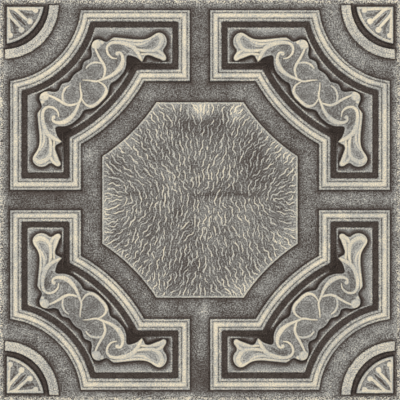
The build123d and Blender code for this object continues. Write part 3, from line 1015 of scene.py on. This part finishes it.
def relief_paint(paint):
    """Paint on the raised forms, which carry their own tone."""
    material, tree, shader = new_material("antique_paint_on_relief")
    place = node(tree, "TexCoord").outputs["Object"]
    tone = node(tree, "Attribute", attribute_name="tone").outputs["Fac"]
    added = node(tree, "Attribute", attribute_name="added_grain").outputs["Fac"]
    made = placed(tree, paint, place, tone, added)
    tree.links.new(made["Color"], shader.inputs["Base Color"])
    tree.links.new(made["Roughness"], shader.inputs["Roughness"])
    bump(tree, shader, made["Height"], RELIEF_BUMP)
    return material


def sheet_paint(paint, flat, foam):
    """Paint on the sheet's face, thinning over its edges to the bare foam of its back."""
    material, tree, shader = new_material("antique_paint_over_foam")
    place = node(tree, "TexCoord").outputs["Object"]
    made = placed(tree, paint, place, placed(tree, flat, place)["Tone"])
    bare = placed(tree, foam, place)
    height = node(tree, "SeparateXYZ", place).outputs["Z"]
    scale, detail, depth = RAGGED
    ragged = maths(tree, "MULTIPLY_ADD", noise(tree, place, scale, detail), depth, height)
    cover = spread(tree, ragged, *PAINT_START)
    mixed = node(tree, "Mix", cover, data_type="RGBA")
    tree.links.new(bare["Color"], mixed.inputs[MIX_FIRST])
    tree.links.new(made["Color"], mixed.inputs[MIX_SECOND])
    tree.links.new(mixed.outputs[MIX_RESULT], shader.inputs["Base Color"])
    tree.links.new(made["Roughness"], shader.inputs["Roughness"])
    grain = node(tree, "Mix", cover, None, bare["Height"], made["Height"], data_type="FLOAT")
    bump(tree, shader, grain.outputs[0], SHEET_BUMP)
    return material


# The pieces

def hollow(name, path, inset, depth, laid=from_corner):
    """A plug that presses a hollow into the back."""
    steps = ((inset, PLUG_START), (inset, 0.0), (inset + HOLLOW_DRAFT, depth))
    return rolled(name, [(laid(path(place)), height, 0) for place, height in steps], solid=True)


def channel():
    """A plug along the back of a frame's moulding."""
    steps = [
        (CHANNEL_START, PLUG_START), (CHANNEL_START, 0.0), (CHANNEL_START + HOLLOW_DRAFT, CHANNEL_DEPTH),
        (CHANNEL_END - HOLLOW_DRAFT, CHANNEL_DEPTH), (CHANNEL_END, 0.0), (CHANNEL_END, PLUG_START),
        (CHANNEL_START, PLUG_START),
    ]
    rows = [(from_corner(frame_path(place)), height, 0) for place, height in steps]
    return rolled("channel", rows, solid=True)


def moulded_sheet():
    """The flat sheet with the hollows pressed into its back."""
    select_only()
    bpy.ops.mesh.primitive_cube_add(size=1)
    made = bpy.context.object
    made.name = made.data.name = "sheet"
    bpy.ops.transform.resize(value=(SIDE * MM, SIDE * MM, SHEET * MM))
    bpy.ops.transform.translate(value=(0, 0, SHEET * MM / 2))
    bpy.ops.object.transform_apply(location=True, rotation=False, scale=True)
    plugs = [
        channel(),
        hollow("field_hollow", frame_path, *FIELD_HOLLOW),
        hollow("fan_hollow", fan_path, *FAN_HOLLOW),
        hollow("ring_hollow", ring_path, *RING_HOLLOW),
    ]
    pressed = [copy for plug in plugs for copy in four_of(plug)]
    pressed.append(hollow("panel_hollow", panel_path, *PANEL_HOLLOW, laid=list))
    plug = joined("pressed_back", pressed)
    cut = made.modifiers.new("pressed_back", "BOOLEAN")
    cut.object, cut.operation, cut.solver = plug, "DIFFERENCE", "EXACT"
    select_only(made)
    bpy.ops.object.modifier_apply(modifier=cut.name)
    bpy.data.objects.remove(plug)
    return smoothed(made, SHEET_ANGLE)


def section(name, path, steps, laid=from_corner):
    """A shell with a section of inset, height and tone all round an outline."""
    rows = [(laid(path(inset)), height, tone) for inset, height, tone in steps]
    return smoothed(rolled(name, rows), SECTION_ANGLE)


def angled_frame():
    """A frame's moulding with the field and scroll inside it."""
    rows = [
        (from_corner(frame_path(inset, corner)), height, tone) for inset, height, corner, tone in MOULDING
    ]
    # The elbow's painted shade reaches over the moulding's lip and groove
    moulding = shaded(smoothed(rolled("frame_moulding", rows), SECTION_ANGLE), LIP_START, elbow_shade_limit)
    ornament = grained(relief("scroll", *SCROLL_GRID, scroll), SCROLL_GRAIN)
    return joined("scroll_frame", [moulding, ornament])


def corner_fan():
    edge = section("fan_edge", fan_path, FAN_EDGE)
    face = relief("fan_face", *FAN_GRID, fan_face)
    return grained(joined("corner_fan", [edge, face]), FAN_GRAIN)


paint = aged_paint_group()
on_relief = relief_paint(paint)
on_sheet = sheet_paint(paint, flat_tone_group(), bare_foam_group())

sheet = moulded_sheet()
sheet.data.materials.append(on_sheet)
raised = [
    grained(section("rim", square_path, RIM, list), RIM_GRAIN),
    section("octagon_edge", panel_path, PANEL_EDGE, list),
    grained(relief("octagon_skin", *PANEL_GRID, wrinkled), PANEL_GRAIN),
    *four_of(grained(section("corner_ring", ring_path, RING_EDGE), RING_GRAIN)),
    *four_of(corner_fan()),
    *four_of(angled_frame()),
]
for piece in raised:
    piece.data.materials.append(on_relief)
for piece in [sheet, *raised]:
    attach(piece, "root")
    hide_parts("tile")

# The floor
FLOOR_SIDE = 6
FLOOR_COLOUR = (0.82, 0.82, 0.80, 1)
FLOOR_ROUGHNESS = 0.8
select_only()
bpy.ops.mesh.primitive_plane_add(size=FLOOR_SIDE)
floor = bpy.context.object
floor.name = "floor"
floor_paint, tree, shader = new_material("pale_floor")
shader.inputs["Base Color"].default_value = FLOOR_COLOUR
shader.inputs["Roughness"].default_value = FLOOR_ROUGHNESS
floor.data.materials.append(floor_paint)

# The light: a white surround that lights the tile less than it shows, and a softbox, in metres and watts
SURROUND_LIGHT = 0.72
SURROUND_SHOWN = 1.0
SOFTBOX_SIDE = 1.6
SOFTBOX_POWER = 12
SOFTBOX_PLACE = (-0.4, 0.6, 2.1)
world = bpy.context.scene.world or bpy.data.worlds.new("studio")
bpy.context.scene.world = world
world.use_nodes = True
tree = world.node_tree
rays = node(tree, "LightPath")
shown = maths(tree, "MAXIMUM", rays.outputs["Is Camera Ray"], rays.outputs["Is Glossy Ray"])
backdrop = tree.nodes["Background"]
backdrop.inputs["Color"].default_value = (1, 1, 1, 1)
strength = node(tree, "MapRange", shown, 0.0, 1.0, SURROUND_LIGHT, SURROUND_SHOWN).outputs[0]
tree.links.new(strength, backdrop.inputs["Strength"])

softbox = bpy.data.objects.new("softbox", bpy.data.lights.new("softbox", "AREA"))
bpy.context.collection.objects.link(softbox)
softbox.data.shape = "SQUARE"
softbox.data.size = SOFTBOX_SIDE
softbox.data.energy = SOFTBOX_POWER
softbox.location = SOFTBOX_PLACE
softbox.rotation_euler = (-softbox.location).to_track_quat("-Z", "Y").to_euler()
softbox.visible_camera = False

# The camera, in millimetres, straight above the tile, which fills its view from edge to edge
LENS = 100
SENSOR = 36
camera = bpy.data.objects.new("camera", bpy.data.cameras.new("camera"))
bpy.context.collection.objects.link(camera)
camera.data.lens = LENS
camera.data.sensor_width = SENSOR
camera.location = (0, 0, RIM_TOP * MM + SIDE * MM * LENS / SENSOR)
bpy.context.scene.camera = camera
bpy.context.scene.view_settings.view_transform = "Standard"
